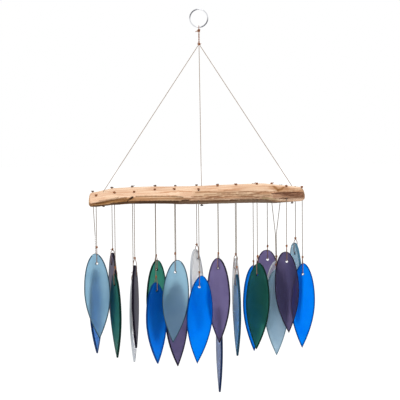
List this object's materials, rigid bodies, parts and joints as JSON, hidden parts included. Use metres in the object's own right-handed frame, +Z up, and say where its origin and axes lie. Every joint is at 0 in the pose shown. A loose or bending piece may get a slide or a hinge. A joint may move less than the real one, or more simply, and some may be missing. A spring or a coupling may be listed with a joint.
{
  "type": "wind chime",
  "caption": "Flat pointed leaves of frosted glass hang on cords in rows from a driftwood bar, which hangs by a bridle of thin lines from a split ring.",
  "frame": {"origin": "inside top of the split ring, where a hook bears", "axes": "+Z up, +X along the driftwood bar to the right, +Y away from the viewer of the front row"},
  "size_m": [0.3035, 0.0618, 0.5085],
  "materials": {
    "glass_pale_blue": "frosted pale blue sea glass",
    "glass_cobalt": "frosted cobalt blue glass",
    "glass_green": "frosted deep green glass",
    "glass_purple": "frosted purple glass",
    "glass_clear": "frosted clear glass",
    "glass_periwinkle": "frosted periwinkle glass",
    "driftwood": "weathered bare wood",
    "cotton_cord": "waxed cotton cord",
    "bridle_line": "thin pale twine",
    "split_ring_steel": "bright bare wire"
  },
  "bodies": {
    "ring": {"split_ring": "split_ring_steel"},
    "loop": {"hanging_loop": "cotton_cord"},
    "hanger": {"hanging_cord": "cotton_cord"},
    "bar": {"driftwood_bar": "driftwood", "bridle_cord_left": "bridle_line", "bridle_cord_centre": "bridle_line", "bridle_cord_right": "bridle_line"},
    "line_front_1": {"cord_front_1": "cotton_cord"},
    "glass_front_1": {"leaf_front_1": "glass_pale_blue"},
    "line_front_2": {"cord_front_2": "cotton_cord"},
    "glass_front_2": {"leaf_front_2": "glass_green"},
    "line_front_3": {"cord_front_3": "cotton_cord"},
    "glass_front_3": {"leaf_front_3": "glass_purple"},
    "line_front_4": {"cord_front_4": "cotton_cord"},
    "glass_front_4": {"leaf_front_4": "glass_cobalt"},
    "line_front_5": {"cord_front_5": "cotton_cord"},
    "glass_front_5": {"leaf_front_5": "glass_pale_blue"},
    "line_front_6": {"cord_front_6": "cotton_cord"},
    "glass_front_6": {"leaf_front_6": "glass_cobalt"},
    "line_front_7": {"cord_front_7": "cotton_cord"},
    "glass_front_7": {"leaf_front_7": "glass_purple"},
    "line_front_8": {"cord_front_8": "cotton_cord"},
    "glass_front_8": {"leaf_front_8": "glass_pale_blue"},
    "line_front_9": {"cord_front_9": "cotton_cord"},
    "glass_front_9": {"leaf_front_9": "glass_green"},
    "line_front_10": {"cord_front_10": "cotton_cord"},
    "glass_front_10": {"leaf_front_10": "glass_pale_blue"},
    "line_front_11": {"cord_front_11": "cotton_cord"},
    "glass_front_11": {"leaf_front_11": "glass_purple"},
    "line_front_12": {"cord_front_12": "cotton_cord"},
    "glass_front_12": {"leaf_front_12": "glass_cobalt"},
    "line_back_1": {"cord_back_1": "cotton_cord"},
    "glass_back_1": {"leaf_back_1": "glass_cobalt"},
    "line_back_2": {"cord_back_2": "cotton_cord"},
    "glass_back_2": {"leaf_back_2": "glass_purple"},
    "line_back_3": {"cord_back_3": "cotton_cord"},
    "glass_back_3": {"leaf_back_3": "glass_clear"},
    "line_back_4": {"cord_back_4": "cotton_cord"},
    "glass_back_4": {"leaf_back_4": "glass_green"},
    "line_back_5": {"cord_back_5": "cotton_cord"},
    "glass_back_5": {"leaf_back_5": "glass_purple"},
    "line_back_6": {"cord_back_6": "cotton_cord"},
    "glass_back_6": {"leaf_back_6": "glass_clear"},
    "line_back_7": {"cord_back_7": "cotton_cord"},
    "glass_back_7": {"leaf_back_7": "glass_periwinkle"},
    "line_back_8": {"cord_back_8": "cotton_cord"},
    "glass_back_8": {"leaf_back_8": "glass_clear"},
    "line_back_9": {"cord_back_9": "cotton_cord"},
    "glass_back_9": {"leaf_back_9": "glass_cobalt"},
    "line_back_10": {"cord_back_10": "cotton_cord"},
    "glass_back_10": {"leaf_back_10": "glass_purple"},
    "line_back_11": {"cord_back_11": "cotton_cord"},
    "glass_back_11": {"leaf_back_11": "glass_clear"},
    "line_back_12": {"cord_back_12": "cotton_cord"},
    "glass_back_12": {"leaf_back_12": "glass_pale_blue"}
  },
  "joints": [
    {"name": "loop_on_ring", "type": "hinge", "parent": "ring", "child": "loop", "pos_m": [0, 0, -0.0109], "axis": [0, 1, 0], "range_deg": [-25, 25]},
    {"name": "chime_swing", "type": "hinge", "parent": "loop", "child": "hanger", "pos_m": [0, 0, -0.0271], "axis": [-1, 0, 0], "range_deg": [-25, 25]},
    {"name": "chime_turn", "type": "hinge", "parent": "hanger", "child": "bar", "pos_m": [0, 0, -0.0446], "axis": [0, 0, 1], "range_deg": [-90, 90]},
    {"name": "swing_front_1", "type": "hinge", "parent": "bar", "child": "line_front_1", "pos_m": [-0.13673, -0.0125, -0.25545], "axis": [-1, 0, 0], "range_deg": [-2.5, 22], "deforming": ["cord_front_1"]},
    {"name": "swing_front_2", "type": "hinge", "parent": "bar", "child": "line_front_2", "pos_m": [-0.11262, -0.0125, -0.25298], "axis": [-0.9914, -0.1305, 0], "range_deg": [-2, 22], "deforming": ["cord_front_2"]},
    {"name": "swing_front_3", "type": "hinge", "parent": "bar", "child": "line_front_3", "pos_m": [-0.08696, -0.0125, -0.25164], "axis": [-0.9914, 0.1305, 0], "range_deg": [-22, 16.5], "deforming": ["cord_front_3"]},
    {"name": "swing_front_4", "type": "hinge", "parent": "bar", "child": "line_front_4", "pos_m": [-0.05961, -0.009, -0.25172], "axis": [-0.5, 0.866, 0], "range_deg": [-21, 6.5], "deforming": ["cord_front_4"]},
    {"name": "swing_front_5", "type": "hinge", "parent": "bar", "child": "line_front_5", "pos_m": [-0.03409, -0.014, -0.25262], "axis": [-0.7071, 0.7071, 0], "range_deg": [-5.5, 22], "deforming": ["cord_front_5"]},
    {"name": "swing_front_6", "type": "hinge", "parent": "bar", "child": "line_front_6", "pos_m": [-0.00264, -0.02, -0.24994], "axis": [-0.2588, 0.9659, 0], "range_deg": [-3, 22], "deforming": ["cord_front_6"]},
    {"name": "swing_front_7", "type": "hinge", "parent": "bar", "child": "line_front_7", "pos_m": [0.02245, -0.013, -0.25228], "axis": [-0.7934, -0.6088, 0], "range_deg": [-8, 22], "deforming": ["cord_front_7"]},
    {"name": "swing_front_8", "type": "hinge", "parent": "bar", "child": "line_front_8", "pos_m": [0.04657, -0.014, -0.25095], "axis": [-0.866, -0.5, 0], "range_deg": [-12, 22], "deforming": ["cord_front_8"]},
    {"name": "swing_front_9", "type": "hinge", "parent": "bar", "child": "line_front_9", "pos_m": [0.07378, -0.016, -0.24875], "axis": [-0.866, -0.5, 0], "range_deg": [-6.5, 22], "deforming": ["cord_front_9"]},
    {"name": "swing_front_10", "type": "hinge", "parent": "bar", "child": "line_front_10", "pos_m": [0.09338, -0.008, -0.25154], "axis": [-0.2588, -0.9659, 0], "range_deg": [-2.5, 5], "deforming": ["cord_front_10"]},
    {"name": "swing_front_11", "type": "hinge", "parent": "bar", "child": "line_front_11", "pos_m": [0.11199, -0.018, -0.24682], "axis": [-0.1305, -0.9914, 0], "range_deg": [-4, 22], "deforming": ["cord_front_11"]},
    {"name": "swing_front_12", "type": "hinge", "parent": "bar", "child": "line_front_12", "pos_m": [0.13314, -0.01, -0.24938], "axis": [-0.1305, 0.9914, 0], "range_deg": [-22, 13], "deforming": ["cord_front_12"]},
    {"name": "swing_back_1", "type": "hinge", "parent": "bar", "child": "line_back_1", "pos_m": [-0.14238, 0.0125, -0.25107], "axis": [-0.6088, 0.7934, 0], "range_deg": [-6, 22], "deforming": ["cord_back_1"]},
    {"name": "swing_back_2", "type": "hinge", "parent": "bar", "child": "line_back_2", "pos_m": [-0.11742, 0.0125, -0.24826], "axis": [-0.866, -0.5, 0], "range_deg": [-22, 9.5], "deforming": ["cord_back_2"]},
    {"name": "swing_back_3", "type": "hinge", "parent": "bar", "child": "line_back_3", "pos_m": [-0.09035, 0.0125, -0.24618], "axis": [-0.9914, 0.1305, 0], "range_deg": [-22, 22], "deforming": ["cord_back_3"]},
    {"name": "swing_back_4", "type": "hinge", "parent": "bar", "child": "line_back_4", "pos_m": [-0.05975, 0.0125, -0.2472], "axis": [-0.9239, 0.3827, 0], "range_deg": [-22, 1], "deforming": ["cord_back_4"]},
    {"name": "swing_back_5", "type": "hinge", "parent": "bar", "child": "line_back_5", "pos_m": [-0.03338, 0.0165, -0.24911], "axis": [-0.5, 0.866, 0], "range_deg": [-22, 14], "deforming": ["cord_back_5"]},
    {"name": "swing_back_6", "type": "hinge", "parent": "bar", "child": "line_back_6", "pos_m": [-0.00546, 0.012, -0.25249], "axis": [-0.9659, -0.2588, 0], "range_deg": [-22, 7.5], "deforming": ["cord_back_6"]},
    {"name": "swing_back_7", "type": "hinge", "parent": "bar", "child": "line_back_7", "pos_m": [0.02316, 0.0125, -0.25305], "axis": [-0.866, -0.5, 0], "range_deg": [-22, 6], "deforming": ["cord_back_7"]},
    {"name": "swing_back_8", "type": "hinge", "parent": "bar", "child": "line_back_8", "pos_m": [0.04586, 0.014, -0.25298], "axis": [-0.9914, -0.1305, 0], "range_deg": [-22, 5.5], "deforming": ["cord_back_8"]},
    {"name": "swing_back_9", "type": "hinge", "parent": "bar", "child": "line_back_9", "pos_m": [0.06941, 0.012, -0.25365], "axis": [-0.9659, 0.2588, 0], "range_deg": [-1.5, 5.5], "deforming": ["cord_back_9"]},
    {"name": "swing_back_10", "type": "hinge", "parent": "bar", "child": "line_back_10", "pos_m": [0.08844, 0.019, -0.2526], "axis": [-0.5, -0.866, 0], "range_deg": [-16.5, 7], "deforming": ["cord_back_10"]},
    {"name": "swing_back_11", "type": "hinge", "parent": "bar", "child": "line_back_11", "pos_m": [0.10494, 0.009, -0.25397], "axis": [-0.2588, -0.9659, 0], "range_deg": [-3.5, 2.5], "deforming": ["cord_back_11"]},
    {"name": "swing_back_12", "type": "hinge", "parent": "bar", "child": "line_back_12", "pos_m": [0.12538, 0.0125, -0.2523], "axis": [-0.1305, -0.9914, 0], "range_deg": [-4.5, 22], "deforming": ["cord_back_12"]},
    {"name": "rock_front_1", "type": "hinge", "parent": "line_front_1", "child": "glass_front_1", "pos_m": [-0.13673, -0.0125, -0.3292], "axis": [0, -1, 0], "range_deg": [-18, 5]},
    {"name": "rock_front_2", "type": "hinge", "parent": "line_front_2", "child": "glass_front_2", "pos_m": [-0.11262, -0.0125, -0.3579], "axis": [0.9063, 0.4226, 0], "range_deg": [-18, 18]},
    {"name": "rock_front_3", "type": "hinge", "parent": "line_front_3", "child": "glass_front_3", "pos_m": [-0.08696, -0.0125, -0.3462], "axis": [-0.9848, 0.1736, 0], "range_deg": [-18, 18]},
    {"name": "rock_front_4", "type": "hinge", "parent": "line_front_4", "child": "glass_front_4", "pos_m": [-0.05961, -0.009, -0.3668], "axis": [0.6691, -0.7431, 0], "range_deg": [-14, 10]},
    {"name": "rock_front_5", "type": "hinge", "parent": "line_front_5", "child": "glass_front_5", "pos_m": [-0.03409, -0.014, -0.3414], "axis": [0, -1, 0], "range_deg": [-10, 18]},
    {"name": "rock_front_6", "type": "hinge", "parent": "line_front_6", "child": "glass_front_6", "pos_m": [-0.00264, -0.02, -0.3607], "axis": [0.0698, -0.9976, 0], "range_deg": [-18, 14]},
    {"name": "rock_front_7", "type": "hinge", "parent": "line_front_7", "child": "glass_front_7", "pos_m": [0.02245, -0.013, -0.3367], "axis": [0.4384, 0.8988, 0], "range_deg": [-11, 18]},
    {"name": "rock_front_8", "type": "hinge", "parent": "line_front_8", "child": "glass_front_8", "pos_m": [0.04657, -0.014, -0.3593], "axis": [-0.9744, -0.225, 0], "range_deg": [-14, 18]},
    {"name": "rock_front_9", "type": "hinge", "parent": "line_front_9", "child": "glass_front_9", "pos_m": [0.07378, -0.016, -0.3457], "axis": [0.5, 0.866, 0], "range_deg": [-18, 11]},
    {"name": "rock_front_10", "type": "hinge", "parent": "line_front_10", "child": "glass_front_10", "pos_m": [0.09858, -0.0034, -0.3557], "axis": [0, 1, 0], "range_deg": [-18, 18]},
    {"name": "rock_front_11", "type": "hinge", "parent": "line_front_11", "child": "glass_front_11", "pos_m": [0.11199, -0.018, -0.3285], "axis": [-0.0698, 0.9976, 0], "range_deg": [-18, 12]},
    {"name": "rock_front_12", "type": "hinge", "parent": "line_front_12", "child": "glass_front_12", "pos_m": [0.13314, -0.01, -0.346], "axis": [-0.1392, 0.9903, 0], "range_deg": [-18, 18]},
    {"name": "rock_back_1", "type": "hinge", "parent": "line_back_1", "child": "glass_back_1", "pos_m": [-0.14017, 0.0125, -0.3539], "axis": [-0.9135, 0.4067, 0], "range_deg": [-18, 10]},
    {"name": "rock_back_2", "type": "hinge", "parent": "line_back_2", "child": "glass_back_2", "pos_m": [-0.11742, 0.0125, -0.3328], "axis": [0.9397, 0.342, 0], "range_deg": [-9.5, 18]},
    {"name": "rock_back_3", "type": "hinge", "parent": "line_back_3", "child": "glass_back_3", "pos_m": [-0.09035, 0.0125, -0.3665], "axis": [0.9744, -0.225, 0], "range_deg": [-18, 18]},
    {"name": "rock_back_4", "type": "hinge", "parent": "line_back_4", "child": "glass_back_4", "pos_m": [-0.05975, 0.0125, -0.3407], "axis": [-0.6428, 0.766, 0], "range_deg": [-18, 14]},
    {"name": "rock_back_5", "type": "hinge", "parent": "line_back_5", "child": "glass_back_5", "pos_m": [-0.03338, 0.0165, -0.3727], "axis": [0.515, -0.8572, 0], "range_deg": [-18, 18]},
    {"name": "rock_back_6", "type": "hinge", "parent": "line_back_6", "child": "glass_back_6", "pos_m": [-0.00546, 0.012, -0.3273], "axis": [-0.8746, 0.4848, 0], "range_deg": [-18, 13]},
    {"name": "rock_back_7", "type": "hinge", "parent": "line_back_7", "child": "glass_back_7", "pos_m": [0.02316, 0.0125, -0.4064], "axis": [0.9816, 0.1908, 0], "range_deg": [-18, 18]},
    {"name": "rock_back_8", "type": "hinge", "parent": "line_back_8", "child": "glass_back_8", "pos_m": [0.04586, 0.014, -0.3413], "axis": [0.9744, 0.225, 0], "range_deg": [-18, 18]},
    {"name": "rock_back_9", "type": "hinge", "parent": "line_back_9", "child": "glass_back_9", "pos_m": [0.06941, 0.012, -0.3507], "axis": [0.2419, 0.9703, 0], "range_deg": [-11, 2.5]},
    {"name": "rock_back_10", "type": "hinge", "parent": "line_back_10", "child": "glass_back_10", "pos_m": [0.08844, 0.019, -0.3296], "axis": [0, 1, 0], "range_deg": [-15, 18]},
    {"name": "rock_back_11", "type": "hinge", "parent": "line_back_11", "child": "glass_back_11", "pos_m": [0.09964, 0.0034, -0.3441], "axis": [0.1045, -0.9945, 0], "range_deg": [-14, 12]},
    {"name": "rock_back_12", "type": "hinge", "parent": "line_back_12", "child": "glass_back_12", "pos_m": [0.12538, 0.0125, -0.3213], "axis": [-0.9063, -0.4226, 0], "range_deg": [-18, 6]}
  ]
}
